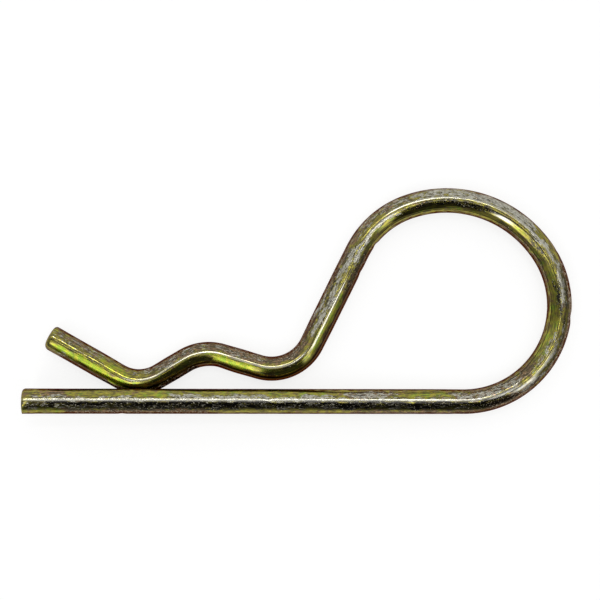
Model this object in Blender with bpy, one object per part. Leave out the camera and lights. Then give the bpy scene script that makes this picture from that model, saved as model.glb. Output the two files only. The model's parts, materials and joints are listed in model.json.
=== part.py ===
"""Hairpin cotter pin, bent cold from one length of round spring wire.

The wire is sheared to length and bent in one pass, from the end of the straight leg:
the leg, a set that lifts it, the heel, crown and shoulder of the ring, the flank down
to the leg, and then the wavy arm of throat, saddle and toe, with a tail to pull on.
The ring and the wavy arm lie flat. The leg rides over the toe, because both arms
were sprung past each other, so the two cross in plan and clear each other in height.
"""

import bpy
import bmesh
import numpy as np
from math import atan, ceil, cos, degrees, pi, radians, sin, tan
from mathutils import Matrix, Vector

# Driving sizes, in metres
MM = 0.001
WIRE_DIAMETER = 3.2 * MM
LEG_LENGTH = 55.9 * MM
HEEL_RADIUS = 12.25 * MM
CROWN_RADIUS = 14.85 * MM
SHOULDER_RADIUS = 11.5 * MM
THROAT_RADIUS = 5.75 * MM
INNER_WEB = 4.9 * MM
SADDLE_RADIUS = 5.95 * MM
OUTER_WEB = 3.75 * MM
TOE_RADIUS = 5.2 * MM
TAIL_LENGTH = 10.2 * MM

# Turns of the ring and slopes of the straights to the leg, in degrees
CROWN_TURN = 77.0
SHOULDER_TURN = 44.5
FLANK_SLOPE = 64.0
INNER_WEB_SLOPE = 16.2
OUTER_WEB_SLOPE = 31.0
TAIL_SLOPE = 29.3

# How the toe meets the leg: the lap seen in plan, and the air between the two in height
TOE_LAP = 0.8 * MM
TOE_CLEARANCE = 0.2 * MM
SET_RADIUS = 12.0 * MM

# How far a bend squeezes the round section in its own plane, as a share of radius over bend radius
BEND_PINCH = 0.08

# The sheared ends: the side where the blade went in and its round, the edge where it came out,
# and the lip of torn metal there, which gathers round the far side by the power LIP_FOCUS
LEG_BLADE_SIDE = Vector((0.0, 1.0, 0.3))
LEG_BLADE_ROUND = 0.45 * MM
LEG_EXIT_ROUND = 0.12 * MM
LEG_LIP = 0.07 * MM
LIP_FOCUS = 6
TAIL_BLADE_SIDE = Vector((0.0, -1.0, 0.0))
TAIL_BLADE_ROUND = 0.7 * MM
TAIL_EXIT_ROUND = 0.45 * MM

# Fineness of the mesh
SECTION_SIDES = 24
BEND_STEP = 6.0
LONGEST_FEED = 3.0 * MM
ROUND_STEPS = 4

# What the driving sizes give
WIRE_RADIUS = WIRE_DIAMETER / 2
RING_BENDS = 3
HEEL_TURN = 180.0 + FLANK_SLOPE - CROWN_TURN - SHOULDER_TURN
UP = Vector((0.0, 0.0, 1.0))


def flat_bends(flank_length, tail_length=TAIL_LENGTH):
    """The bends that lie flat, in order: (radius, turn) pairs, and lengths for the straights."""
    return [
        (HEEL_RADIUS, HEEL_TURN),
        (CROWN_RADIUS, CROWN_TURN),
        (SHOULDER_RADIUS, SHOULDER_TURN),
        flank_length,
        (THROAT_RADIUS, -(FLANK_SLOPE + INNER_WEB_SLOPE)),
        INNER_WEB,
        (SADDLE_RADIUS, INNER_WEB_SLOPE + OUTER_WEB_SLOPE),
        OUTER_WEB,
        (TOE_RADIUS, -(OUTER_WEB_SLOPE + TAIL_SLOPE)),
        tail_length,
    ]


def centre_line(programme, spacing):
    """Points and headings along the flat bends, from the leg's root, heading along +X."""
    here = np.zeros(2)
    heading = 0.0
    points = [here[None]]
    headings = [np.array([heading])]
    for step in programme:
        if isinstance(step, tuple):
            radius, turn = step
            turn = radians(turn)
            share = np.linspace(0.0, 1.0, max(2, ceil(abs(turn) * radius / spacing)))[1:]
            angles = heading + turn * share
            side = radius if turn > 0 else -radius
            path = here + side * np.stack([np.sin(angles) - sin(heading), cos(heading) - np.cos(angles)], 1)
            heading += turn
        else:
            share = np.linspace(0.0, 1.0, max(2, ceil(step / spacing)))[1:]
            angles = np.full(share.size, heading)
            path = here + step * share[:, None] * np.array([cos(heading), sin(heading)])
        points.append(path)
        headings.append(angles)
        here = path[-1]
    return np.concatenate(points), np.concatenate(headings)


def flank_that_reaches_the_toe():
    """Length of the flank that brings the toe down to its lap over the leg."""
    points, headings = centre_line(flat_bends(WIRE_DIAMETER), WIRE_RADIUS / 50)
    toe_is_level = np.nonzero(headings > pi)[0][-1]
    wanted = WIRE_DIAMETER - TOE_LAP
    return WIRE_DIAMETER + (points[toe_is_level, 1] - wanted) / sin(radians(FLANK_SLOPE))


def lift_that_clears_the_arm(flank_length):
    """Angle that the leg rises at, in degrees, so that it rides over whatever it crosses."""
    programme = flat_bends(flank_length)
    spacing = WIRE_RADIUS / 10
    ring_points = len(centre_line(programme[:RING_BENDS], spacing)[0])
    arm = centre_line(programme, spacing)[0][ring_points:]
    arm = arm[arm[:, 0] < -WIRE_DIAMETER]
    apart = WIRE_DIAMETER + TOE_CLEARANCE
    height = np.sqrt(np.clip(apart ** 2 - arm[:, 1] ** 2, 0.0, None))
    lift = 0.0
    for _ in range(12):
        run = -arm[:, 0] - SET_RADIUS * tan(lift / 2)
        lift = atan(float(np.max(height / run / cos(lift))))
    return degrees(lift)


def ring_in(geometry):
    """The verts of a fresh ring of wire in what an operator returns, and the edges between them."""
    verts = [item for item in geometry if isinstance(item, bmesh.types.BMVert)]
    ring = set(verts)
    edges = [item for item in geometry if isinstance(item, bmesh.types.BMEdge) and ring.issuperset(item.verts)]
    return verts, edges


class Bender:
    """Wire that leaves a bender: an open tube, which grows from its last ring of verts and edges."""

    def __init__(self, heading):
        self.mesh = bmesh.new()
        self.place = Vector((0.0, 0.0, 0.0))
        self.heading = heading.normalized()
        self.fed = 0.0
        self.rings = []
        self.squeezes = []
        side = UP.cross(self.heading).normalized()
        over = self.heading.cross(side)
        verts = bmesh.ops.create_circle(self.mesh, segments=SECTION_SIDES, radius=WIRE_RADIUS)["verts"]
        for vert in verts:
            vert.co = side * vert.co.x + over * vert.co.y
        self.remember(verts, list(self.mesh.edges))

    def remember(self, verts, edges):
        """Keep the ring at the tip, with its centre, its side direction and the length fed so far."""
        side = UP.cross(self.heading).normalized()
        self.rings.append((verts, edges, self.place.copy(), side, self.fed))

    def feed(self, length):
        """Push a straight length out along the heading."""
        steps = max(1, ceil(length / LONGEST_FEED))
        step = self.heading * (length / steps)
        for _ in range(steps):
            grown = bmesh.ops.extrude_edge_only(self.mesh, edges=self.rings[-1][1])
            verts, edges = ring_in(grown["geom"])
            bmesh.ops.translate(self.mesh, vec=step, verts=verts)
            self.place += step
            self.fed += length / steps
            self.remember(verts, edges)

    def bend(self, radius, turn, axis=UP):
        """Carry the wire round a former of this centre-line radius, by a turn in degrees about axis."""
        steps = max(1, ceil(abs(turn) / BEND_STEP))
        angle = radians(turn) / steps
        inward = axis.cross(self.heading).normalized() * (1 if turn > 0 else -1)
        centre = self.place + inward * radius
        swing = Matrix.Rotation(angle, 3, axis)
        start = self.fed
        for _ in range(steps):
            spun = bmesh.ops.spin(
                self.mesh, geom=self.rings[-1][1], cent=centre, axis=axis, angle=angle, steps=1
            )
            verts, edges = ring_in(spun["geom_last"])
            self.place = centre + swing @ (self.place - centre)
            self.heading = (swing @ self.heading).normalized()
            self.fed += abs(angle) * radius
            self.remember(verts, edges)
        if axis == UP:
            self.squeezes.append((start, self.fed, radius))

    def pinch(self):
        """Flatten the section in each bend, easing in and out over one wire diameter."""
        for verts, _, centre, side, fed in self.rings:
            squeeze = 0.0
            for start, end, radius in self.squeezes:
                outside = max(start - fed, fed - end, 0.0) / WIRE_DIAMETER
                ease = cos(min(outside, 1.0) * pi / 2) ** 2
                squeeze = max(squeeze, BEND_PINCH * WIRE_RADIUS / radius * ease)
            for vert in verts:
                vert.co -= side * (vert.co - centre).dot(side) * squeeze

    def shear_off(self, end, blade, blade_round, exit_round, lip=0.0):
        """Finish one end as shears leave it, from the ring at that end out to a flat face.

        The edge is a quarter round whose radius runs from blade_round, where the blade went in,
        to exit_round on the far side, where a lip of torn metal may stand out.
        """
        _, edges, centre, _, _ = self.rings[end]
        before = self.rings[end + 1 if end == 0 else end - 1][2]
        outward = (centre - before).normalized()
        blade = (blade - outward * blade.dot(outward)).normalized()
        reach = cut_reach(blade_round)
        for step in range(ROUND_STEPS + 1):
            around = step / ROUND_STEPS * pi / 2
            verts, edges = ring_in(bmesh.ops.extrude_edge_only(self.mesh, edges=edges)["geom"])
            for vert in verts:
                spoke = vert.co - centre
                spoke = (spoke - outward * spoke.dot(outward)).normalized()
                entry = 0.5 + 0.5 * spoke.dot(blade)
                edge_round = exit_round + (blade_round - exit_round) * entry
                stand = lip * (1.0 - entry) ** LIP_FOCUS * sin(around)
                radial = WIRE_RADIUS + stand - edge_round * (1.0 - cos(around))
                along = reach - edge_round * (1.0 - sin(around))
                vert.co = centre + outward * along + spoke * radial
        bmesh.ops.contextual_create(self.mesh, geom=edges)


def cut_reach(blade_round):
    """Length of the stretch at an end that the shears shape."""
    return blade_round + WIRE_RADIUS / 4


def bent_wire():
    """The whole wire as one closed mesh, standing on its lowest point, centred on its box."""
    flank_length = flank_that_reaches_the_toe()
    lift = lift_that_clears_the_arm(flank_length)

    wire = Bender(Vector((cos(radians(lift)), 0.0, -sin(radians(lift)))))
    wire.feed(LEG_LENGTH - cut_reach(LEG_BLADE_ROUND) - SET_RADIUS * radians(lift))
    wire.bend(SET_RADIUS, lift, axis=Vector((0.0, -1.0, 0.0)))
    for step in flat_bends(flank_length, TAIL_LENGTH - cut_reach(TAIL_BLADE_ROUND)):
        if isinstance(step, tuple):
            wire.bend(*step)
        else:
            wire.feed(step)
    wire.pinch()
    wire.shear_off(0, LEG_BLADE_SIDE, LEG_BLADE_ROUND, LEG_EXIT_ROUND, LEG_LIP)
    wire.shear_off(len(wire.rings) - 1, TAIL_BLADE_SIDE, TAIL_BLADE_ROUND, TAIL_EXIT_ROUND)
    bmesh.ops.recalc_face_normals(wire.mesh, faces=wire.mesh.faces)

    corners = np.array([vert.co for vert in wire.mesh.verts])
    low, high = corners.min(axis=0), corners.max(axis=0)
    foot = Vector(((low[0] + high[0]) / 2, (low[1] + high[1]) / 2, low[2]))
    bmesh.ops.translate(wire.mesh, vec=-foot, verts=wire.mesh.verts)
    return wire.mesh


def plated_steel():
    """Yellow zinc plate on bright steel, as one even olive gold."""
    material = bpy.data.materials.new("yellow_zinc_plate")
    material.use_nodes = True
    shader = material.node_tree.nodes["Principled BSDF"]
    shader.inputs["Base Color"].default_value = (0.36, 0.33, 0.15, 1.0)
    shader.inputs["Metallic"].default_value = 1.0
    shader.inputs["Roughness"].default_value = 0.3
    return material


def main():
    for item in list(bpy.data.objects):
        bpy.data.objects.remove(item)
    mesh = bpy.data.meshes.new("hairpin_wire")
    wire = bent_wire()
    wire.to_mesh(mesh)
    wire.free()
    mesh.shade_smooth()
    mesh.set_sharp_from_angle(angle=radians(40))
    mesh.materials.append(plated_steel())
    hairpin = bpy.data.objects.new("hairpin_wire", mesh)
    bpy.context.scene.collection.objects.link(hairpin)


main()
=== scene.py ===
# %% [markdown]
# A hairpin cotter is one length of spring wire, bent cold and plated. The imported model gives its
# true shape, coarsely faceted. This lesson lays a fine skin of the same wire over it, gives that skin
# the scuffed yellow chromate finish of a used pin, and photographs it from straight above on a white
# table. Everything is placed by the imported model, which is loaded first and never changed.

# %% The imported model
import json
from math import atan2, cos, degrees, pi, radians, sin

import bpy
import numpy as np
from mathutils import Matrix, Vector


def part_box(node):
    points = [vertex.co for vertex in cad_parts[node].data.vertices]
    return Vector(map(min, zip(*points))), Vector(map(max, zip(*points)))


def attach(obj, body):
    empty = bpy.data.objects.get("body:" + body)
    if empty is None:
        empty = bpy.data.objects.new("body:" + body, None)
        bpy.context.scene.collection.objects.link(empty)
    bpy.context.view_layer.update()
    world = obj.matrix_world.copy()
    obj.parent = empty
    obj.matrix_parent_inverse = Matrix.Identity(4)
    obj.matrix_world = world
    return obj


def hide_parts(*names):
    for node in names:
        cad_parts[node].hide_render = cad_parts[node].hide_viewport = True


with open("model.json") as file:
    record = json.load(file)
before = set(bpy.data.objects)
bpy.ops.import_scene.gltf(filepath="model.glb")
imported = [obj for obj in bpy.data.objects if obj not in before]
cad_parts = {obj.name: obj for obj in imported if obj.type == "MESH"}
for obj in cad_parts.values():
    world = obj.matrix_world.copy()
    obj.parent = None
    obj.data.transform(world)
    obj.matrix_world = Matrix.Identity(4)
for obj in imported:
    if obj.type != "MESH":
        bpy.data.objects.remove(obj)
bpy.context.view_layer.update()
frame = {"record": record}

MM = 0.001
record = frame["record"]

# %% [markdown]
# The wire leaves the bender as straights and arcs, so its centre line needs no modelled curve at all.
# It could be traced with a Bezier curve, but a bender's programme of lengths and turns is exact, short
# and easy to check against the model. The programme starts at the tip of the straight leg.
# The leg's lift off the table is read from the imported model: its end face looks along the leg.

# %% The bending programme
WIRE_RADIUS = 1.6 * MM
LEG_LENGTH = 55.9 * MM
HEEL_RADIUS, CROWN_RADIUS, SHOULDER_RADIUS = 12.25 * MM, 14.85 * MM, 11.5 * MM
CROWN_TURN, SHOULDER_TURN, FLANK_SLOPE = 77.0, 44.5, 64.0
THROAT_RADIUS, SADDLE_RADIUS, TOE_RADIUS = 5.75 * MM, 5.95 * MM, 5.2 * MM
INNER_WEB, OUTER_WEB, TAIL_LENGTH = 4.9 * MM, 3.75 * MM, 10.2 * MM
INNER_WEB_SLOPE, OUTER_WEB_SLOPE, TAIL_SLOPE = 16.2, 31.0, 29.3
TOE_LAP = 0.8 * MM
SET_RADIUS = 12.0 * MM
HEEL_TURN = 180.0 + FLANK_SLOPE - CROWN_TURN - SHOULDER_TURN

leg_face = next(mount for mount in record["mounts"] if mount["name"] == "leg_end")
LIFT = atan2(leg_face["axis"][2], -leg_face["axis"][0])


def bend(radius, turn):
    """An arc as the bender sees it: its length along the wire, and its turn to the left in degrees."""
    return radius * radians(abs(turn)), turn


def programme(flank):
    """Every stretch of wire from the tip of the leg, as rows of length and turn."""
    return np.array([
        (LEG_LENGTH, 0.0),
        bend(HEEL_RADIUS, HEEL_TURN),
        bend(CROWN_RADIUS, CROWN_TURN),
        bend(SHOULDER_RADIUS, SHOULDER_TURN),
        (flank, 0.0),
        bend(THROAT_RADIUS, -(FLANK_SLOPE + INNER_WEB_SLOPE)),
        (INNER_WEB, 0.0),
        bend(SADDLE_RADIUS, INNER_WEB_SLOPE + OUTER_WEB_SLOPE),
        (OUTER_WEB, 0.0),
        bend(TOE_RADIUS, -(OUTER_WEB_SLOPE + TAIL_SLOPE)),
        (TAIL_LENGTH, 0.0),
    ])


def headings(lengths, flank):
    """Heading in plan and dip of the wire at each length: both change evenly through a bend."""
    rows = programme(flank)
    stops = np.concatenate([[0.0], np.cumsum(rows[:, 0])])
    turned = np.radians(np.concatenate([[0.0], np.cumsum(rows[:, 1])]))
    dip = np.interp(lengths, [LEG_LENGTH - SET_RADIUS * LIFT, LEG_LENGTH], [LIFT, 0.0])
    return np.interp(lengths, stops, turned), dip


def forward(lengths, flank):
    """Unit vector along the wire: heading turned about the upright, then dipped towards the table."""
    heading, dip = headings(lengths, flank)
    return np.stack([np.cos(dip) * np.cos(heading), np.cos(dip) * np.sin(heading), -np.sin(dip)], -1)


def centre_line(lengths, flank):
    """Centres of the wire: the running sum of each step's length times its direction half way."""
    steps = np.diff(lengths)[:, None] * forward((lengths[1:] + lengths[:-1]) / 2, flank)
    return np.concatenate([np.zeros((1, 3)), np.cumsum(steps, 0)])


# The pin is first walked along with a trial flank. Its toe is lowest where the heading last passes
# half a turn, and how far the toe is from where it should be says how much longer the flank is.
WALK_STEPS = 8000
trial = 2 * WIRE_RADIUS
walk = np.linspace(0.0, programme(trial)[:, 0].sum(), WALK_STEPS)
level = np.nonzero(headings(walk, trial)[0] > pi)[0][-1]
toe_drop = centre_line(walk, trial)[level, 1] - (2 * WIRE_RADIUS - TOE_LAP)
FLANK = trial + toe_drop / sin(radians(FLANK_SLOPE))
WIRE_LENGTH = programme(FLANK)[:, 0].sum()
print(f"flank {FLANK / MM:.3f} mm, lift {degrees(LIFT):.3f} degrees")
print(f"the wire is {WIRE_LENGTH / MM:.2f} mm long")

# %% [markdown]
# The skin is a surface of two parameters: the length along the wire, and the angle round it. The
# angle is 0 on top and grows towards the outside of the ring, the lower side of the leg in plan.
# Wire is never a perfect cylinder. The die leaves fine lengthwise ridges, the formers squeeze each
# bend, and pliers, hooks and years of use leave nicks. They could be sculpted, but all of them are
# small changes of the radius, so each is one formula on the grid. They only ever take metal away, so
# the skin stays inside the model.

# %% The grid, and the squeeze of the bends
# Each end has two corner rounds, where the blade went in and where it came out, and a reach: the
# length of wire left for its corner.
ALONG, AROUND = 936, 96
BEND_PINCH = 0.08
LEG_ROUNDS, TAIL_ROUNDS = (0.45 * MM, 0.12 * MM), (0.7 * MM, 0.45 * MM)
LEG_REACH, TAIL_REACH = LEG_ROUNDS[0] + WIRE_RADIUS / 4, TAIL_ROUNDS[0] + WIRE_RADIUS / 4

lengths = np.linspace(LEG_REACH, WIRE_LENGTH - TAIL_REACH, ALONG)
angles = np.linspace(0.0, 2 * pi, AROUND, endpoint=False)
from_tail = WIRE_LENGTH - lengths


def smooth(low, high, value):
    """The smooth step: 0 below low, 1 above high, and 3t^2 - 2t^3 between."""
    t = np.clip((value - low) / (high - low), 0.0, 1.0)
    return t * t * (3 - 2 * t)


def pinch(lengths):
    """Share by which the section narrows in its bend's plane: pinch times radius over bend radius.

    It eases out as a squared cosine over one wire diameter beyond each end of a bend.
    """
    rows = programme(FLANK)
    ends = np.cumsum(rows[:, 0])
    bent = rows[:, 1] != 0
    starts, stops = (ends - rows[:, 0])[bent], ends[bent]
    radii = rows[bent, 0] / np.radians(np.abs(rows[bent, 1]))
    outside = np.maximum(starts - lengths[:, None], lengths[:, None] - stops).clip(0.0, 2 * WIRE_RADIUS)
    ease = np.cos(outside / (2 * WIRE_RADIUS) * pi / 2) ** 2
    return (BEND_PINCH * WIRE_RADIUS / radii * ease).max(1)


print(f"the tightest bend is squeezed by {pinch(lengths).max():.1%}")

# %% Die ridges and the wander of the gauge
DIE_DEPTH = 0.004 * MM
GAUGE_WANDER = 0.012 * MM
rng = np.random.default_rng(7)


def waves(count, around, along, amplitude):
    """A smooth random relief from 0 to amplitude: a sum of waves of mixed numbers round and along.

    Each wave is a cosine of its whole number times the angle plus its rate times the length.
    """
    numbers = rng.integers(around[0], around[1], count)
    rates = rng.uniform(-1.0, 1.0, count) * 2 * pi / along
    phases = rng.uniform(0.0, 2 * pi, count)
    phase = numbers * angles[None, :, None] + rates * lengths[:, None, None] + phases
    total = np.cos(phase).sum(2)
    return amplitude * (total - total.min()) / (total.max() - total.min())


ridges = waves(count=16, around=(9, 30), along=60 * MM, amplitude=DIE_DEPTH)
wander = waves(count=14, around=(0, 4), along=7 * MM, amplitude=GAUGE_WANDER)
relief = -ridges - wander
print(f"die ridges and wander take off up to {-relief.min() / MM:.3f} mm")

# %% Nicks and dents
# Each has its distance from the tail's tip and its angle round the wire, then its depth, its half
# length along the wire and its half angle round it.
NICKS = [
    (24.1 * MM, -72, 0.09 * MM, 1.1 * MM, 26),
    (48.2 * MM, -84, 0.07 * MM, 0.5 * MM, 24),
    (52.5 * MM, -82, 0.11 * MM, 0.45 * MM, 26),
    (79.5 * MM, 58, 0.05 * MM, 0.25 * MM, 34),
    (87.3 * MM, 84, 0.12 * MM, 0.5 * MM, 28),
    (97.0 * MM, 35, 0.04 * MM, 0.3 * MM, 18),
    (118.0 * MM, 12, 0.03 * MM, 0.4 * MM, 12),
    (130.4 * MM, -22, 0.04 * MM, 0.5 * MM, 12),
    (147.9 * MM, -9, 0.05 * MM, 0.2 * MM, 11),
    (148.8 * MM, 80, 0.07 * MM, 0.35 * MM, 16),
    (157.2 * MM, 24, 0.04 * MM, 0.35 * MM, 14),
]


def nick(place, angle, depth, half_length, half_angle):
    """A dent: depth times a bell of the distance along times a bell of the angle round."""
    apart = (np.degrees(angles) - angle + 180) % 360 - 180
    bell = np.exp(-((from_tail - place) / half_length) ** 2)[:, None]
    return -depth * bell * np.exp(-(apart / half_angle) ** 2)


END_FADE = 1.2 * MM

relief += sum(nick(*row) for row in NICKS)
fade = smooth(0.0, END_FADE, lengths - lengths[0]) * smooth(0.0, END_FADE, lengths[-1] - lengths)
relief *= fade[:, None]
print(f"{len(NICKS)} nicks, the deepest {-relief.min() / MM:.2f} mm")

# %% [markdown]
# Shears round the edge where the blade goes in, and tear the last of the metal on the far side, which
# leaves a small lip. The whole end could be a Bevel modifier, but its width is the same all round. Here
# each ring of the end is worked out instead, with a corner radius that changes round the wire.

# %% The sheared ends
CORNER_RINGS, FACE_RINGS = 12, 8
TORN_DEPTH = 0.05 * MM
LIP_SHARPNESS = 6
TORN_HALF, TORN_RIM = (-0.1, 0.25), (0.0, 0.35)


def sheared_end(middle, outward, spokes, reach, blade, blade_round, exit_round, lip=0.0):
    """Rings from the wire's side out over the corner, and in over the cut face.

    The corner is a quarter round. Its radius runs from exit_round, on the side away from the blade, to
    blade_round by the share (1 + cosine to the blade) / 2. The lip is that share's rest to a power.
    The face dips where the metal tore, by the product of two smooth steps.
    """
    blade = blade - outward * (blade @ outward)
    towards = spokes @ (blade / np.linalg.norm(blade))
    entry = 0.5 + 0.5 * towards
    corner = exit_round + (blade_round - exit_round) * entry
    turn = np.linspace(0.0, pi / 2, CORNER_RINGS)[:, None]
    lipped = WIRE_RADIUS + lip * (1 - entry) ** LIP_SHARPNESS * np.sin(turn)
    side = lipped - corner * (1 - np.cos(turn))
    along = reach - corner * (1 - np.sin(turn))
    share = np.linspace(1.0, 0.0, FACE_RINGS + 2)[1:-1, None]
    face = side[-1] * share
    torn = smooth(*TORN_HALF, -towards * share) * smooth(*TORN_RIM, 1 - share)
    along = np.concatenate([along, reach - TORN_DEPTH * torn])
    side = np.concatenate([side, face])
    points = middle + outward * along[..., None] + spokes * side[..., None]
    return points, along, side


def section_axes(lengths):
    """Left of travel and up from the wire at each length, both square to its direction."""
    ahead = forward(lengths, FLANK)
    heading = headings(lengths, FLANK)[0]
    left = np.stack([-np.sin(heading), np.cos(heading), np.zeros_like(heading)], -1)
    return ahead, left, np.cross(ahead, left)


# %% The whole skin as one grid
# The side that each blade came from, the lip left on the leg, and the hair by which the leg is kept
# short so that its corner stays inside the model.
LEG_BLADE, TAIL_BLADE = np.array([0.0, 1.0, 0.3]), np.array([0.0, -1.0, 0.0])
LEG_LIP = 0.07 * MM
END_TRIM = 0.006 * MM

centres = centre_line(np.concatenate([[0.0], lengths]), FLANK)[1:]
ahead, left, over = section_axes(lengths)
outwards = -left
upright, sideways = np.cos(angles)[None, :, None], np.sin(angles)[None, :, None]
radius = (WIRE_RADIUS + relief)[..., None]
narrowed = (1 - pinch(lengths))[:, None, None]
body = centres[:, None] + radius * (over[:, None] * upright + outwards[:, None] * sideways * narrowed)

leg_spokes = over[0] * upright[0] + outwards[0] * sideways[0]
tail_spokes = over[-1] * upright[0] + outwards[-1] * sideways[0]
leg_rings, leg_along, leg_side = sheared_end(
    centres[0], -ahead[0], leg_spokes, LEG_REACH - END_TRIM, LEG_BLADE, *LEG_ROUNDS, LEG_LIP
)
tail_rings, tail_along, tail_side = sheared_end(
    centres[-1], ahead[-1], tail_spokes, TAIL_REACH, TAIL_BLADE, *TAIL_ROUNDS
)
rings = np.concatenate([leg_rings[::-1], body, tail_rings])
poles = np.array([
    centres[0] - ahead[0] * (LEG_REACH - TORN_DEPTH / 2),
    centres[-1] + ahead[-1] * (TAIL_REACH - TORN_DEPTH / 2),
])
skin = np.concatenate([rings.reshape(-1, 3), poles])
low, high = (np.array(corner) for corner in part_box("hairpin_wire"))
shift = np.array([*((low + high) / 2)[:2], low[2]]) - np.array([
    *((skin.min(0) + skin.max(0)) / 2)[:2], skin[:, 2].min()
])
skin += shift
print("skin minus model at the low and high corners, mm:")
print(np.round((skin.min(0) - low) / MM, 3), np.round((skin.max(0) - high) / MM, 3))

# %% [markdown]
# The finish follows the wire through every bend, so it can't be painted in plain space. A UV map would
# do, but it has a seam where the angle closes. Instead each point stores its place on the wire before
# it was bent: length, and the two coordinates across. A noise read there has no seam, and squeezing
# the length makes streaks that run with the wire.

# %% Coordinates on the straight wire
ring_lengths = np.concatenate([
    (lengths[0] - leg_along[::-1]),
    np.broadcast_to(lengths[:, None], (ALONG, AROUND)),
    (lengths[-1] + tail_along),
])
ring_sides = np.concatenate([leg_side[::-1], np.full((ALONG, AROUND), WIRE_RADIUS), tail_side])
straight = np.stack([ring_lengths, ring_sides * np.cos(angles), ring_sides * np.sin(angles)], -1)
straight = np.concatenate([
    straight.reshape(-1, 3), [[ring_lengths[0, 0], 0.0, 0.0], [ring_lengths[-1, 0], 0.0, 0.0]]
])
print("rings", len(rings), "points", len(skin))

# %% [markdown]
# Where the plate is clean, scuffed or stained is mostly a matter of this one pin's life: the ring wears
# where it is pulled, the arm where it rides over its shaft, the leg where it slides through the hole.
# Those places could be painted on a picture, but a short list of soft-edged patches is easier to read
# and to change, and noise in the material breaks up their edges. Some patches paint light and shade:
# the brown along the sides is partly painted shade on the rims, a few grimy rows under the toe are
# painted shade where it tucks under the leg, and one scuffed row on the shoulder is a painted glint.
# The polished ones are narrow strips of bright zinc laid where a lamp's white line falls: partly film
# rubbed through to clean zinc, partly a painted highlight, where the reflection of a lamp stays white.

# %% Patches of wear and colour, and of painted shade and highlight
# Each row has its two ends in millimetres from the tail's tip, its two angles round the wire in
# degrees, and its strength.
# Mostly real scuffs; the row from 54.9 to 57.5 mm is bright zinc where the shoulder's glint falls, a
# painted highlight.
SCUFFED_AND_GLINT = [
    (0, 8, 14, 60, 0.45), (1.4, 4.1, -50, -28, 0.7), (12.5, 15.5, 30, 65, 0.6),
    (15.7, 23, 14, 60, 0.45), (23, 30, 20, 50, 0.45), (38, 45.7, 2, 28, 0.9),
    (40.8, 42.7, 36, 66, 1.0), (45.7, 51, 4, 32, 0.95), (47.9, 54.3, -18, 2, 0.9),
    (54.9, 57.5, -14, -3, 1.0), (52, 60, 20, 70, 0.5), (60.7, 67, 10, 75, 0.8),
    (66, 75.6, 14, 64, 0.9), (75, 80, 2, 26, 1.0), (80, 86, 4, 30, 1.0),
    (85.2, 87.2, 50, 92, 1.0), (88, 94, 10, 30, 0.6), (90, 95, -26, 0, 0.6),
    (94.6, 97.6, 14, 34, 1.0), (97, 107, -50, -8, 0.7), (107, 114.4, -30, -6, 0.5),
    (114.4, 120.6, -50, -6, 0.7), (121, 131.7, -32, -4, 0.8), (131, 143, -36, -6, 0.8),
    (143, 154, -26, -4, 0.7), (154, 160.5, -30, 0, 0.7), (104, 161, 2, 34, 0.5),
]
LIME = [
    (1, 12.3, -38, -2, 1.0), (7.1, 11.8, 8, 45, 0.65), (12, 23, -30, 4, 0.4),
    (23.1, 29.3, -30, 6, 1.0), (29.3, 40, -36, -4, 0.5), (36, 44.7, -36, -12, 0.7),
    (51, 58, -34, -12, 0.5), (58, 70, -50, -24, 0.4), (69.5, 76, -34, -4, 0.35),
    (75.4, 78.4, 28, 55, 0.4), (79, 93, -55, -5, 0.5), (90, 95, -30, 0, 0.4),
    (107, 114.4, -56, -12, 0.4), (121.9, 131.7, -56, -16, 0.4), (131.7, 143, -58, -20, 0.4),
    (143.4, 147, -62, -24, 0.55), (147, 155, -56, -24, 0.35), (156, 162, 20, 70, 0.5),
]
ROSE = [
    (0, 8, 30, 80, 0.4), (14.7, 23.1, 20, 90, 0.8), (23.1, 31.9, 18, 80, 0.8),
    (31.9, 36.5, 26, 92, 1.0), (36.5, 51, 40, 92, 0.8), (51, 60, 30, 80, 0.5),
    (66.9, 69.8, 30, 65, 0.7), (80, 95, 36, 92, 1.0), (96, 102.7, 18, 70, 0.9),
    (102.7, 119.7, 40, 92, 0.6), (95, 107, -60, -10, 0.7), (114.4, 120.6, -56, -14, 0.7),
    (138, 156, 38, 92, 1.0), (155, 160.5, -50, -20, 0.5), (2, 12, -92, -44, 0.6),
    (44.7, 51, -70, -28, 0.7), (72, 84, -80, -42, 0.6), (95, 107, -80, -50, 0.5),
]
# Soot and grime, with painted shade: the rows from 8 to 21 mm at -92 to -38 degrees darken the toe where
# it tucks under the leg.
SOOT_AND_SHADE = [
    (12.3, 23, -42, -6, 0.4), (16, 23, 16, 50, 0.5), (24, 30, 26, 52, 0.45),
    (37, 41, 24, 44, 0.6), (45.7, 47.9, 28, 42, 0.9), (44.7, 50, -46, -12, 0.6),
    (57.5, 62.8, -18, 0, 0.9), (62.8, 70.2, -26, 6, 1.0), (76.7, 79, -28, -6, 1.0),
    (79, 82.9, -30, -6, 0.45), (82.6, 86.9, -22, 2, 1.1), (98, 131.7, 4, 34, 0.7),
    (106.5, 112.3, 6, 34, 1.2), (117.6, 121.9, 4, 34, 1.2), (131, 150, 4, 36, 1.0),
    (150, 161, 6, 36, 0.6), (98, 158, -4, 13, 1.6), (0, 9, 2, 14, 0.7), (9, 20, -75, -38, 1.1),
    (38.5, 51, 26, 42, 0.8), (8, 21, -92, -52, 1.5),
]
# Brown along the sides: partly stain, partly painted shade on the rims seen from above.
STAIN_AND_SHADE = [
    (3, 14, -92, -36, 0.8), (12, 46, -92, -34, 1.0), (14, 24, 50, 92, 0.4), (30, 36, 44, 92, 0.5),
    (44, 52, -92, -40, 0.6), (72, 86, -92, -60, 0.15), (80, 95, 46, 92, 0.6),
    (95, 106, 24, 80, 0.4), (137, 156, 46, 92, 0.5), (38, 40.5, 32, 50, 1.0),
    (45, 49, 30, 46, 1.0),
]
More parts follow.
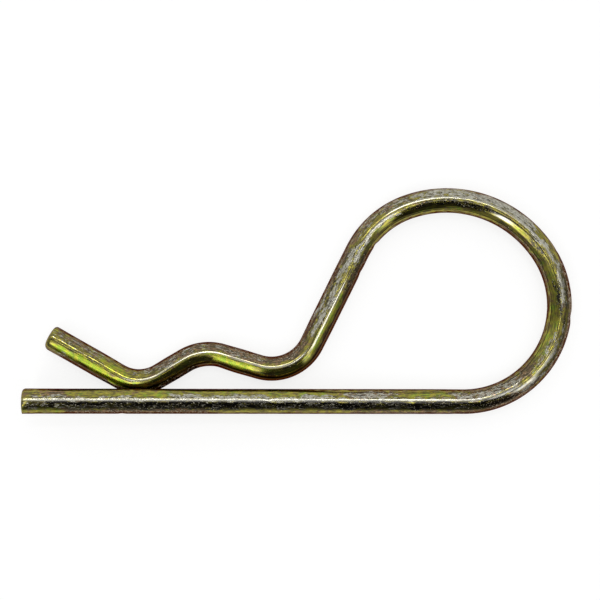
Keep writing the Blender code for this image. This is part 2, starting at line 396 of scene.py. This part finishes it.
# Bright zinc strips along where the ring lamp's white line falls: partly rubbed film, partly painted
# highlight.
POLISH_AND_HIGHLIGHT = [
    (11, 13, 2, 8, 0.8), (13, 17, 6, 12, 0.9), (17, 25.5, 9, 14, 0.9), (25.5, 33.5, 5, 11, 0.9),
    (33, 36, -1, 7, 0.8), (36.5, 46, -13, -6, 0.9), (52, 57, -7, 2, 0.9), (56.5, 66, 9, 15, 0.9),
    (66, 76, 10, 16, 0.9), (76, 80, 12, 18, 0.8), (70.7, 72.9, -24, -8, 0.9),
    (92, 99, 8, 18, 0.7), (98.5, 102, -8, 0, 0.8), (102, 107, -13, -6, 0.8),
    (106, 161, -13, -6, 1.0),
]
EDGE_ALONG, EDGE_ROUND = 1.1 * MM, 9.0
POLISH_AND_HIGHLIGHT_EDGE = 4.0
STRAY_ALONG, STRAY_ROUND = 0.5 * MM, 5.0
# Each wave that pushes an edge: its turns round the wire, and its scale along it.
WAVES_ALONG = [(5, 0.7 * MM), (11, -1.9 * MM)]
WAVES_ROUND = [(2, 0.45 * MM), (0, 1.3 * MM)]


def patches(rows, stray=1.0, edge=EDGE_ROUND):
    """The strongest of many soft-edged rectangles of length and angle, each a product of four steps.

    Sums of two sines of length and angle, times the stray, push the edges to and fro.
    """
    place = WIRE_LENGTH - straight[:, 0]
    turns = np.arctan2(straight[:, 2], straight[:, 1])
    strayed = sum(np.sin(number * turns + place / scale) for number, scale in WAVES_ALONG)
    turned = sum(np.sin(number * turns + place / scale) for number, scale in WAVES_ROUND)
    around = np.degrees(turns) + stray * STRAY_ROUND * turned
    place = place + stray * STRAY_ALONG * strayed
    total = np.zeros(len(place))
    for first, last, lower, upper, strength in rows:
        lengthwise = smooth(first * MM - EDGE_ALONG, first * MM + EDGE_ALONG, place)
        lengthwise *= 1 - smooth(last * MM - EDGE_ALONG, last * MM + EDGE_ALONG, place)
        crosswise = smooth(lower - edge, lower + edge, around)
        crosswise *= 1 - smooth(upper - edge, upper + edge, around)
        total = np.maximum(total, strength * lengthwise * crosswise)
    return total


FINISH_MAPS = {
    "scuffed_and_glint": patches(SCUFFED_AND_GLINT), "lime": patches(LIME), "rose": patches(ROSE), "soot_and_shade": patches(SOOT_AND_SHADE),
    "stain_and_shade": patches(STAIN_AND_SHADE), "polish_and_highlight": patches(POLISH_AND_HIGHLIGHT, 0.0, POLISH_AND_HIGHLIGHT_EDGE),
}
for name, values in FINISH_MAPS.items():
    print(name, "mean", round(float(values.mean()), 3))

# %% [markdown]
# A grid becomes a mesh when its faces are listed: each joins four neighbours, and a fan of triangles
# closes each end. The order of a face's corners decides which way it looks, and a skin that looks
# inwards would shade and export wrongly, so its signed volume is worked out as a test.

# %% From arrays to a mesh


def skin_faces(ring_count):
    """Quads between neighbouring rings, closed round the wire, and a fan of triangles at each pole."""
    first = np.arange(ring_count - 1)[:, None] * AROUND
    here, beside = np.arange(AROUND), (np.arange(AROUND) + 1) % AROUND
    quads = np.stack([first + here, first + beside, first + AROUND + beside, first + AROUND + here], -1)
    last = (ring_count - 1) * AROUND
    near, far = ring_count * AROUND, ring_count * AROUND + 1
    near_fan = np.stack([np.full(AROUND, near), beside, here], -1)
    far_fan = np.stack([np.full(AROUND, far), last + here, last + beside], -1)
    return quads.reshape(-1, 4).tolist() + near_fan.tolist() + far_fan.tolist()


mesh = bpy.data.meshes.new("drawn_wire_skin")
mesh.from_pydata(skin, [], skin_faces(len(rings)))
mesh.shade_smooth()
on_wire = mesh.attributes.new("on_wire", "FLOAT_VECTOR", "POINT")
on_wire.data.foreach_set("vector", straight.astype(np.float32).ravel())
for name, values in FINISH_MAPS.items():
    painted = mesh.attributes.new(name, "FLOAT", "POINT")
    painted.data.foreach_set("value", values.astype(np.float32))
mesh.validate()
wire = bpy.data.objects.new("drawn_wire_skin", mesh)
bpy.context.scene.collection.objects.link(wire)
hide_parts("hairpin_wire")
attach(wire, "root")

corners = np.zeros(len(mesh.vertices) * 3, np.float32)
mesh.vertices.foreach_get("co", corners)
mesh.calc_loop_triangles()
tris = np.zeros(len(mesh.loop_triangles) * 3, np.int32)
mesh.loop_triangles.foreach_get("vertices", tris)
a, b, c = corners.reshape(-1, 3)[tris.reshape(-1, 3)].transpose(1, 0, 2).astype(float)
volume = np.einsum("ij,ij->i", a, np.cross(b, c)).sum() / 6
print(len(mesh.loop_triangles), "triangles, volume", round(volume / MM ** 3, 1), "cubic mm")
assert volume > 0, "the skin is inside out"

# %% [markdown]
# The finish is built in layers, as it came about: bright drawn wire, zinc and a yellow chromate over
# it, which shimmers from olive to lime and rose, then the wear that rubs it grey, and grime in the
# pits. Each effect is a node group with named inputs and outputs, so that it can be tried on its own.
# A helper makes one node at a time and wires up its inputs by name.

# %% A helper for nodes


def place(tree, kind, inputs=None, **settings):
    """One new node in a tree: settings are its own, and inputs are values or sockets by name."""
    node = tree.nodes.new(kind)
    for name, value in settings.items():
        setattr(node, name, value)
    for name, value in (inputs or {}).items():
        if isinstance(value, bpy.types.NodeSocket):
            tree.links.new(value, node.inputs[name])
        else:
            node.inputs[name].default_value = value
    return node


def math(tree, operation, first, second=0.0):
    """A Math node of two values or sockets, and its result."""
    return place(tree, "ShaderNodeMath", {0: first, 1: second}, operation=operation).outputs[0]


def ramp(tree, value, low, high, bottom=0.0, top=1.0):
    """A smooth step of a value from low to high, put out from bottom to top."""
    limits = {"Value": value, "From Min": low, "From Max": high, "To Min": bottom, "To Max": top}
    return place(tree, "ShaderNodeMapRange", limits, interpolation_type="SMOOTHSTEP").outputs[0]


def mixed(tree, share, first, second):
    """A colour between two colours."""
    colours = {"Factor": share, "A": first, "B": second}
    return place(tree, "ShaderNodeMix", colours, data_type="RGBA").outputs["Result"]


def group(name, inputs, outputs):
    """An empty node group with named sockets: its tree, its input sockets and its output node."""
    tree = bpy.data.node_groups.new(name, "ShaderNodeTree")
    for title, kind, value in inputs:
        socket = tree.interface.new_socket(title, in_out="INPUT", socket_type=kind)
        if value is not None:
            socket.default_value = value
    for title, kind in outputs:
        tree.interface.new_socket(title, in_out="OUTPUT", socket_type=kind)
    return tree, tree.nodes.new("NodeGroupInput").outputs, tree.nodes.new("NodeGroupOutput")


FLOAT, VECTOR, COLOUR = "NodeSocketFloat", "NodeSocketVector", "NodeSocketColor"

# %% [markdown]
# Drawing through a die pulls every scratch out along the wire. A picture of scratches would show its
# tiles. Here a noise is read in coordinates whose length is shortened, so its grains come out long.
# The shift moves each use of the group to another part of the noise.

# %% Streaks that run with the wire
GRAIN_ROUGHNESS = 0.68

streaks, given, result = group(
    "lengthwise_streaks",
    [
        ("Vector", VECTOR, None), ("Shift", FLOAT, 0.0), ("Per Metre", FLOAT, 3000.0),
        ("Shorten", FLOAT, 0.1), ("Detail", FLOAT, 5.0),
    ],
    [("Streaks", FLOAT)],
)
aside = place(streaks, "ShaderNodeCombineXYZ", {"X": given["Shift"]})
across = place(streaks, "ShaderNodeCombineXYZ", {"X": given["Shorten"], "Y": 1.0, "Z": 1.0})
moved = place(
    streaks, "ShaderNodeVectorMath", {0: given["Vector"], 1: aside.outputs[0]}, operation="ADD"
)
drawn = place(
    streaks, "ShaderNodeVectorMath", {0: moved.outputs[0], 1: across.outputs[0]}, operation="MULTIPLY"
)
grain = place(
    streaks,
    "ShaderNodeTexNoise",
    {
        "Vector": drawn.outputs[0], "Scale": given["Per Metre"], "Detail": given["Detail"],
        "Roughness": GRAIN_ROUGHNESS,
    },
)
streaks.links.new(grain.outputs["Fac"], result.inputs["Streaks"])
print("group", streaks.name)

# %% Flakes: streaks cut off at a height that a map of wear lowers
FLAKE_DETAIL = 8.0

flakes, given, result = group(
    "flaky_patches",
    [
        ("Vector", VECTOR, None), ("Shift", FLOAT, 0.0), ("Map", FLOAT, 0.0),
        ("Per Metre", FLOAT, 3000.0), ("Shorten", FLOAT, 0.3), ("Whole", FLOAT, 0.70),
        ("Worn", FLOAT, 0.46), ("Edge", FLOAT, 0.03),
    ],
    [("Mask", FLOAT)],
)
shape = place(flakes, "ShaderNodeGroup", node_tree=streaks)
for title in ("Vector", "Shift", "Per Metre", "Shorten"):
    flakes.links.new(given[title], shape.inputs[title])
shape.inputs["Detail"].default_value = FLAKE_DETAIL
drop = math(flakes, "SUBTRACT", given["Worn"], given["Whole"])
lowered = math(flakes, "MULTIPLY", given["Map"], drop)
limit = math(flakes, "ADD", given["Whole"], lowered)
low_edge, high_edge = (math(flakes, way, limit, given["Edge"]) for way in ("SUBTRACT", "ADD"))
flakes.links.new(ramp(flakes, shape.outputs[0], low_edge, high_edge), result.inputs["Mask"])
print("group", flakes.name)

# %% [markdown]
# A chromate film is so thin that light waves interfere in it, and its colour follows its thickness:
# olive, then gold and lime where it is thinner, rose where it is thicker. A thin-film shader could
# work this out, but the export keeps only plain colours. So four colours are mixed by the maps, and a
# cloud of noise lets them drift into each other.

# %% The shimmer of the chromate
CLOUD_PER_METRE, CLOUD_DETAIL = 1500.0, 8.0
MOTTLE_PER_METRE, MOTTLE_SHORTEN = 1100.0, 1.6
MOTTLE_CONTRAST, MOTTLE_FLOOR = 2.6, 0.65
GREEN_DRIFT, ROSE_DRIFT, ROSE_LOST_TO_LIME = 2.2, 3.4, 0.4
OLIVE = (0.365, 0.32, 0.03, 1.0)
GOLD = (0.50, 0.48, 0.035, 1.0)
LIME_GREEN = (0.27, 0.395, 0.02, 1.0)
ROSE_BROWN = (0.29, 0.175, 0.085, 1.0)
shimmer, given, result = group(
    "chromate_shimmer",
    [("Vector", VECTOR, None), ("Lime", FLOAT, 0.0), ("Rose", FLOAT, 0.0)],
    [("Colour", COLOUR)],
)
cloud = place(
    shimmer,
    "ShaderNodeTexNoise",
    {"Vector": given["Vector"], "Scale": CLOUD_PER_METRE, "Detail": CLOUD_DETAIL},
)
drift = math(shimmer, "SUBTRACT", cloud.outputs["Fac"], 0.5)
mottle = place(shimmer, "ShaderNodeGroup", node_tree=streaks)
shimmer.links.new(given["Vector"], mottle.inputs["Vector"])
mottle.inputs["Per Metre"].default_value = MOTTLE_PER_METRE
mottle.inputs["Shorten"].default_value = MOTTLE_SHORTEN
mottled = math(shimmer, "MULTIPLY", mottle.outputs[0], MOTTLE_CONTRAST)
mottled = math(shimmer, "SUBTRACT", mottled, MOTTLE_FLOOR)
greener = math(shimmer, "MULTIPLY", given["Lime"], mottled)
greener = math(shimmer, "ADD", math(shimmer, "MULTIPLY", drift, GREEN_DRIFT), greener)
greener = ramp(shimmer, greener, 0.15, 0.85)
lost = math(shimmer, "MULTIPLY", given["Lime"], ROSE_LOST_TO_LIME)
redder = math(shimmer, "SUBTRACT", given["Rose"], lost)
redder = math(shimmer, "SUBTRACT", redder, math(shimmer, "MULTIPLY", drift, ROSE_DRIFT))
redder = ramp(shimmer, redder, 0.13, 0.68)
golden = mixed(shimmer, ramp(shimmer, given["Lime"], 0.3, 1.0), OLIVE, GOLD)
golden = mixed(shimmer, greener, golden, LIME_GREEN)
shimmer.links.new(mixed(shimmer, redder, golden, ROSE_BROWN), result.inputs["Colour"])
print("group", shimmer.name)

# %% The brown sides of the wire, partly painted shade
# The share across says how far a point is to the side: 1 is the edge seen from above. The brown there
# is partly stain and partly painted shade on the rims seen from above. A ragged noise and the map of
# stain and shade move the place where the brown starts.
RAGGED_PER_METRE, RAGGED_SHORTEN = 3200.0, 0.3
RAGGED, STAIN_AND_SHADE_REACH = 1.1, 0.35

sides, given, result = group(
    "stain_and_shade_sides",
    [
        ("Vector", VECTOR, None), ("Map", FLOAT, 0.0), ("Radius", FLOAT, WIRE_RADIUS),
        ("From", FLOAT, 0.80), ("To", FLOAT, 1.02),
    ],
    [("Mask", FLOAT)],
)
parts = place(sides, "ShaderNodeSeparateXYZ", {"Vector": given["Vector"]})
reach_out = math(sides, "ABSOLUTE", math(sides, "DIVIDE", parts.outputs["Z"], given["Radius"]))
ragged = place(sides, "ShaderNodeGroup", node_tree=streaks)
sides.links.new(given["Vector"], ragged.inputs["Vector"])
ragged.inputs["Per Metre"].default_value = RAGGED_PER_METRE
ragged.inputs["Shorten"].default_value = RAGGED_SHORTEN
torn = math(sides, "MULTIPLY", math(sides, "SUBTRACT", ragged.outputs[0], 0.5), RAGGED)
torn = math(sides, "ADD", torn, math(sides, "MULTIPLY", given["Map"], STAIN_AND_SHADE_REACH))
sides.links.new(
    ramp(sides, math(sides, "ADD", reach_out, torn), given["From"], given["To"]), result.inputs["Mask"]
)
print("group", sides.name)

# %% [markdown]
# One material holds the whole finish. Two materials would need an edge between them, but wear has no
# edge: it comes and goes. So each layer is a mask that mixes its colour over the last, and the same
# masks then say how metallic, how rough and how glossy each place is.

# %% Yellow chromate on zinc, as one material
DRAWN_DARK = (0.05, 0.04, 0.015, 1.0)
# The side brown is partly stain and partly painted shade on the rims.
SIDE_SHADE_BROWN = (0.095, 0.055, 0.035, 1.0)
DULL_ZINC, BRIGHT_ZINC = (0.29, 0.28, 0.225, 1.0), (0.54, 0.53, 0.46, 1.0)
CHIPPED_ZINC = (0.55, 0.52, 0.42, 1.0)
# Grime, and the painted shade under the toe.
GRIME_AND_SHADE = (0.015, 0.012, 0.007, 1.0)

plate = bpy.data.materials.new("yellow_zinc_plate")
plate.use_nodes = True
tree = plate.node_tree
shader = tree.nodes["Principled BSDF"]
spot = place(tree, "ShaderNodeAttribute", attribute_name="on_wire").outputs["Vector"]
maps = {
    name: place(tree, "ShaderNodeAttribute", attribute_name=name).outputs["Fac"] for name in FINISH_MAPS
}
print("the material reads", ", ".join(maps))

# %% A group placed in a material


def effect(tree, made, **inputs):
    """A group placed in a material with its own values, and its only output."""
    node = place(tree, "ShaderNodeGroup", node_tree=made)
    for title, value in inputs.items():
        socket = node.inputs[title.replace("_", " ")]
        if isinstance(value, bpy.types.NodeSocket):
            tree.links.new(value, socket)
        else:
            socket.default_value = value
    return node.outputs[0]


# %% The film, and the masks of wear and painted shade
# Chips come where the film is scuffed, thick and brittle, or grimy, but grime holds most of them down.
colour = effect(tree, shimmer, Vector=spot, Lime=maps["lime"], Rose=maps["rose"])
# The side mask paints brown along the sides: partly stain, partly painted shade on the rims.
side = effect(tree, sides, Vector=spot, Map=maps["stain_and_shade"])
lines = effect(tree, streaks, Vector=spot, Shift=0.4, Per_Metre=5600.0, Shorten=0.16)
fine = effect(tree, streaks, Vector=spot, Shift=0.8, Per_Metre=8000.0, Shorten=0.35)
speckle = effect(tree, streaks, Vector=spot, Shift=3.0, Per_Metre=5200.0, Shorten=0.5, Detail=3.0)
worked = math(tree, "MAXIMUM", maps["rose"], ramp(tree, maps["soot_and_shade"], 0.0, 0.9, 0.0, 0.75))
worked = math(tree, "MAXIMUM", worked, maps["scuffed_and_glint"])
# Rubbed zinc, which also carries the painted glint on the shoulder.
rubbed_and_glint = effect(
    tree, flakes, Vector=spot, Map=maps["scuffed_and_glint"], Per_Metre=5200.0, Whole=0.67, Worn=0.42
)
scratched = effect(
    tree, flakes, Vector=spot, Shift=1.2, Map=maps["scuffed_and_glint"], Per_Metre=4200.0, Shorten=0.12,
    Whole=0.67, Worn=0.59,
)
# This grime mask also paints the shade where the toe tucks under the leg.
grimy_and_shaded = effect(
    tree, flakes, Vector=spot, Shift=1.6, Map=maps["soot_and_shade"], Per_Metre=4400.0, Shorten=0.5,
    Whole=0.72, Worn=0.48,
)
chipped = effect(
    tree, flakes, Vector=spot, Shift=2.4, Map=worked, Per_Metre=7000.0, Shorten=0.5,
    Whole=0.72, Worn=0.58, Edge=0.02,
)
print("masks made with", len(tree.nodes), "nodes so far")

# %% The layers of colour, from the film up
# The film is darker along the drawing lines and in pocks, least where it is clean and lime. Then come
# the brown sides, partly painted shade, the rubbed zinc with one painted glint, grime and scratches with
# painted shade under the toe, the chips, and the polished strips, partly a painted highlight.
clean = ramp(tree, maps["lime"], 0.2, 0.9, 0.15, 0.6)
colour = mixed(tree, ramp(tree, lines, 0.40, 0.58, clean, 1.0), DRAWN_DARK, colour)
pocked = math(tree, "MULTIPLY", ramp(tree, speckle, 0.56, 0.46), ramp(tree, worked, 0.1, 0.7, 0.3, 0.9))
pocked = math(tree, "MULTIPLY", pocked, ramp(tree, maps["lime"], 0.2, 0.9, 1.0, 0.2))
colour = mixed(tree, pocked, colour, DRAWN_DARK)
colour = mixed(tree, side, colour, SIDE_SHADE_BROWN)
zinc = mixed(tree, ramp(tree, fine, 0.40, 0.60), DULL_ZINC, BRIGHT_ZINC)
colour = mixed(tree, rubbed_and_glint, colour, zinc)
dirty_and_shaded = math(tree, "MAXIMUM", scratched, grimy_and_shaded)
colour = mixed(tree, dirty_and_shaded, colour, GRIME_AND_SHADE)
colour = mixed(tree, chipped, colour, CHIPPED_ZINC)
colour = mixed(tree, maps["polish_and_highlight"], colour, BRIGHT_ZINC)
tree.links.new(colour, shader.inputs["Base Color"])
print("colours layered with", len(tree.nodes), "nodes so far")

# %% Metal, gloss and the clear top of the film
# The film is smoother than zinc, and has a clear glossy top, which is gone where metal or brown shows.
ZINC_METALLIC = 0.85
FILM_ROUGHNESS, ZINC_ROUGHNESS = 0.06, 0.14
ROUGHER_GRAIN, ROUGHER_CHIPS, ROUGHER_LIME = 0.08, 0.55, 0.16
TOP_WEIGHT, TOP_ROUGHNESS, TOP_IOR = 0.36, 0.03, 1.8
EDGE_TINT = (0.35, 0.22, 0.15, 1.0)

tree.links.new(ramp(tree, rubbed_and_glint, 0.0, 1.0, 1.0, ZINC_METALLIC), shader.inputs["Metallic"])
rough = ramp(tree, rubbed_and_glint, 0.0, 1.0, FILM_ROUGHNESS, ZINC_ROUGHNESS)
rough = math(tree, "ADD", rough, math(tree, "MULTIPLY", fine, ROUGHER_GRAIN))
rough = math(tree, "ADD", rough, math(tree, "MULTIPLY", chipped, ROUGHER_CHIPS))
rough = math(tree, "ADD", rough, ramp(tree, maps["lime"], 0.55, 0.95, 0.0, ROUGHER_LIME))
tree.links.new(rough, shader.inputs["Roughness"])
shader.inputs["Specular Tint"].default_value = EDGE_TINT
bare = math(tree, "MAXIMUM", math(tree, "MAXIMUM", rubbed_and_glint, side), chipped)
bare = math(tree, "MAXIMUM", bare, ramp(tree, maps["lime"], 0.3, 1.0, 0.0, 0.6))
tree.links.new(ramp(tree, bare, 0.0, 1.0, TOP_WEIGHT, 0.0), shader.inputs["Coat Weight"])
shader.inputs["Coat Roughness"].default_value = TOP_ROUGHNESS
shader.inputs["Coat IOR"].default_value = TOP_IOR
print("gloss made with", len(tree.nodes), "nodes so far")

# %% Pits that catch the light
# Pits are shallow under the film, deeper where it is scuffed, and nearly gone on the polished strips,
# which are partly a painted highlight.
PIT_DEPTH = 0.012 * MM
SMOOTH_PITS, SCUFFED_PITS, POLISH_AND_HIGHLIGHT_PITS = 0.08, 0.4, 0.2
GRIME_AND_SHADE_DEPTH = 0.15

pits = effect(tree, streaks, Vector=spot, Shift=2.0, Per_Metre=3400.0, Shorten=0.3, Detail=2.0)
deeper = ramp(tree, maps["scuffed_and_glint"], 0.0, 0.8, SMOOTH_PITS, SCUFFED_PITS)
pitted = math(tree, "MULTIPLY", pits, deeper)
pitted = math(tree, "SUBTRACT", pitted, math(tree, "MULTIPLY", dirty_and_shaded, GRIME_AND_SHADE_DEPTH))
pitted = math(tree, "MULTIPLY", pitted, ramp(tree, maps["polish_and_highlight"], 0.0, 1.0, 1.0, POLISH_AND_HIGHLIGHT_PITS))
bump = place(tree, "ShaderNodeBump", {"Height": pitted, "Strength": 1.0, "Distance": PIT_DEPTH})
tree.links.new(bump.outputs["Normal"], shader.inputs["Normal"])
mesh.materials.append(plate)
print("material", plate.name, "with", len(tree.nodes), "nodes")

# %% [markdown]
# The table is white paper. A brighter lamp would lift it to clean white, but would burn the pin out
# too. So the paper is lit like everything else, which keeps the pin's soft shadow, and has a little
# light of its own that only the camera and reflections see.

# %% The white table
TABLE_HALF = 3.0
PAPER = 0.3
PAPER_GLOW = 0.78

paper = bpy.data.materials.new("white_paper")
paper.use_nodes = True
tree = paper.node_tree
shader = tree.nodes["Principled BSDF"]
shader.inputs["Base Color"].default_value = (PAPER, PAPER, PAPER, 1.0)
shader.inputs["Roughness"].default_value = 1.0
shader.inputs["Specular IOR Level"].default_value = 0.0
shader.inputs["Emission Color"].default_value = (1.0, 1.0, 1.0, 1.0)
light_path = tree.nodes.new("ShaderNodeLightPath")
seen = math(tree, "MAXIMUM", light_path.outputs["Is Camera Ray"], light_path.outputs["Is Glossy Ray"])
seen = math(tree, "MAXIMUM", seen, light_path.outputs["Is Transmission Ray"])
tree.links.new(math(tree, "MULTIPLY", seen, PAPER_GLOW), shader.inputs["Emission Strength"])

table_mesh = bpy.data.meshes.new("white_table")
square = np.array([(-1, -1, 0), (1, -1, 0), (1, 1, 0), (-1, 1, 0)]) * TABLE_HALF
table_mesh.from_pydata(square, [], [(0, 1, 2, 3)])
table_mesh.materials.append(paper)
table = bpy.data.objects.new("white_table", table_mesh)
bpy.context.scene.collection.objects.link(table)
print("table", 2 * TABLE_HALF, "m wide")

# %% [markdown]
# Polished metal shows the room and little else, so the room is what has to be built. Lamps could hang
# round the pin, but a lamp near it dims across the table and shows up in side views. Here the lights
# are painted on the sky itself, far away, by direction. Seen from the pin, each is a sector: between
# two angles from straight up, and within a span of compass angle. A dark wedge, where the photographer
# leans in, gives the near-black bands that make metal look like metal. The short, bright sectors named
# for a ring lamp are arcs of the lamp round the lens: each makes the fine white line on the stretch
# of wire that lies square to it.

# %% A sector of sky
# Straight up has no compass angle, so the sine that divides is never let down to zero.
LEAST_SINE = 0.001


def towards(azimuth, from_zenith):
    """Unit vector by compass angle, turning left from the picture's right, and angle from the zenith."""
    azimuth, from_zenith = radians(azimuth), radians(from_zenith)
    return (sin(from_zenith) * cos(azimuth), sin(from_zenith) * sin(azimuth), cos(from_zenith))


def dot(tree, first, second):
    """The dot product of two vector sockets."""
    node = place(tree, "ShaderNodeVectorMath", {0: first, 1: second}, operation="DOT_PRODUCT")
    return node.outputs["Value"]


sector, given, result = group(
    "sky_sector",
    [
        ("Direction", VECTOR, None), ("Side", VECTOR, None), ("Half Span", FLOAT, 0.5),
        ("From", FLOAT, 0.1), ("To", FLOAT, 0.7), ("Edge", FLOAT, 0.05),
    ],
    [("Mask", FLOAT)],
)
height = place(sector, "ShaderNodeSeparateXYZ", {"Vector": given["Direction"]}).outputs["Z"]
angle = math(sector, "ARCCOSINE", height)
flat = math(sector, "MAXIMUM", math(sector, "SINE", angle), LEAST_SINE)
turn = math(sector, "DIVIDE", dot(sector, given["Direction"], given["Side"]), flat)
turn = math(sector, "ARCCOSINE", math(sector, "MINIMUM", turn, 1.0))
blurred = math(sector, "MULTIPLY", given["Edge"], -1.0)
margins = [
    math(sector, "SUBTRACT", given["Half Span"], turn),
    math(sector, "SUBTRACT", angle, given["From"]),
    math(sector, "SUBTRACT", given["To"], angle),
]
inside = 1.0
for margin in margins:
    inside = math(sector, "MULTIPLY", inside, ramp(sector, margin, blurred, given["Edge"]))
sector.links.new(inside, result.inputs["Mask"])
print("group", sector.name)

# %% The room by direction
# Each light, in degrees: the compass angle of its middle, its half span, its two angles from straight
# up and its soft edge, then its brightness. The wedge's last number is the share of light it takes.
LIGHTS = {
    "bright half of the room": (92, 74, 5, 90, 7.0, 0.50),
    "right wall, near": (2, 20, 8, 40, 5.0, 0.35),
    "right wall, glow": (17, 12, 12, 30, 4.0, 0.70),
    "overhead": (40, 100, 0, 8, 3.0, 0.25),
    "ring lamp, far left": (139, 8, 5.5, 8, 0.8, 6.0),
    "ring lamp, upper left": (122, 14, 20.3, 23.0, 0.8, 5.0),
    "ring lamp, above the leg": (98, 12, 21.3, 23.8, 0.8, 10.5),
    "ring lamp, top": (71, 16, 21.3, 24.0, 0.8, 8.5),
    "ring lamp, upper right": (44, 12, 21.3, 23.5, 0.8, 4.5),
    "ring lamp, lower right": (-27, 7, 19.4, 22.2, 0.8, 6.5),
    "ring lamp, far right": (-38, 8, 11, 14, 0.8, 6.0),
    "ring lamp, nearest": (-12, 12, 5, 7.5, 0.8, 5.5),
    "right window, wide": (-26, 7, 28, 50, 5.0, 0.45),
    "left wall": (-142, 14, 8, 40, 5.0, 0.45),
    "left window": (-127, 11, 7, 49, 3.0, 1.35),
    "left window, near": (-127, 8, 7, 20, 3.0, 1.3),
    "left window, far": (-124, 11, 41, 56, 3.0, 1.2),
    "left window, tall pane": (-112, 7, 13, 48, 3.0, 1.8),
    "left window, bright pane": (-113, 5, 20, 44, 3.0, 2.0),
    "right window, high": (-33, 8, 11, 33, 3.0, 0.65),
    "right window, low": (-45, 6, 19, 48, 3.0, 2.0),
    "wall above the leg": (88, 14, 36, 90, 6.0, 0.12),
    "wall below the leg": (-90, 6, 58, 88, 4.0, 0.20),
    "right window, sill": (-45, 6, 48, 66, 3.0, 0.7),
}
DARK_WEDGE = (-76, 24, 5, 77, 3.0, 0.84)
ROOM_LEVEL = 0.33

world = bpy.data.worlds.new("studio")
world.use_nodes = True
bpy.context.scene.world = world
tree = world.node_tree
sky = tree.nodes["Background"]
looking = place(tree, "ShaderNodeTexCoord").outputs["Generated"]


def part_of_sky(azimuth, half_span, nearest, furthest, edge, level):
    """A sector of the sky, times its level."""
    mask = effect(
        tree, sector, Direction=looking, Side=towards(azimuth, 90), Half_Span=radians(half_span),
        From=radians(nearest), To=radians(furthest), Edge=radians(edge),
    )
    return math(tree, "MULTIPLY", mask, level)


light = math(tree, "SUBTRACT", ROOM_LEVEL, part_of_sky(*DARK_WEDGE[:-1], DARK_WEDGE[-1] * ROOM_LEVEL))
for row in LIGHTS.values():
    light = math(tree, "ADD", light, part_of_sky(*row))
tree.links.new(light, sky.inputs["Strength"])
sky.inputs["Color"].default_value = (1.0, 1.0, 1.0, 1.0)
print(len(LIGHTS), "lights and one dark wedge")

# %% [markdown]
# The camera looks straight down from the height that the picture's slight perspective asks for. Its
# lens follows from the width of table that the picture shows.

# %% The camera
CAMERA_HEIGHT = 200 * MM
FRAME_WIDTH = 76.7 * MM
CAMERA_ASIDE, CAMERA_UP = 0.112 * MM, 0.056 * MM
CAMERA_ROLL = 0.2875
SENSOR_WIDTH = 36.0
NEAREST, FURTHEST = 0.01, 20.0

camera_data = bpy.data.cameras.new("overhead_camera")
camera_data.sensor_width = SENSOR_WIDTH
camera_data.lens = SENSOR_WIDTH * CAMERA_HEIGHT / FRAME_WIDTH
camera_data.clip_start, camera_data.clip_end = NEAREST, FURTHEST
camera = bpy.data.objects.new("overhead_camera", camera_data)
camera.location = (CAMERA_ASIDE, CAMERA_UP, CAMERA_HEIGHT + WIRE_RADIUS)
camera.rotation_euler = (0.0, 0.0, radians(CAMERA_ROLL))
bpy.context.scene.collection.objects.link(camera)
bpy.context.scene.camera = camera
bpy.context.scene.view_settings.view_transform = "Standard"
print(f"lens {camera_data.lens:.1f} mm at {CAMERA_HEIGHT} m")
